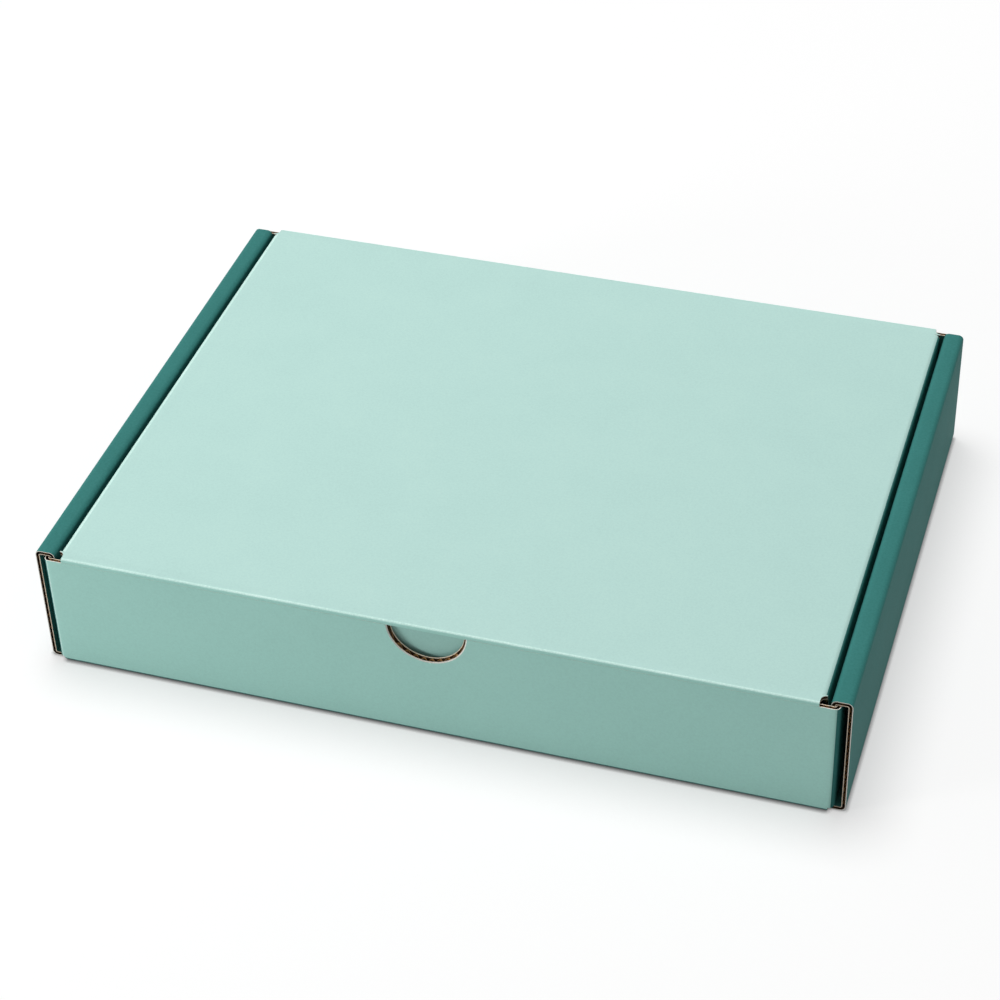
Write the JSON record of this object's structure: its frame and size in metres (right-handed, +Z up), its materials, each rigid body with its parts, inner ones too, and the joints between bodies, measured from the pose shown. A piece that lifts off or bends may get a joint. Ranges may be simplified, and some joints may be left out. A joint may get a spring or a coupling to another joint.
{
  "type": "corrugated mailer box",
  "caption": "Closed flat mailer box of fluted board with rolled side walls, a hinged tuck-in lid and a thumb notch in the front wall.",
  "frame": {"origin": "centre of the footprint, on the surface that the box stands on", "axes": "+X along the front wall, +Y from the front wall to the hinge, +Z up; the front wall faces -Y"},
  "size_m": [0.321, 0.2384, 0.0542],
  "materials": {
    "tray_board": "matt printed liner, dark teal side walls and inside, mint front and rear walls, brown fluted cut edges",
    "lid_board": "matt printed liner, mint outside, dark teal inside"
  },
  "bodies": {
    "tray": {"tray": "tray_board"},
    "lid": {"lid": "lid_board"}
  },
  "joints": [
    {"name": "lid_hinge", "type": "hinge", "parent": "tray", "child": "lid", "pos_m": [0, 0.11835, 0.05335], "axis": [-1, 0, 0], "range_deg": [0, 180]}
  ]
}
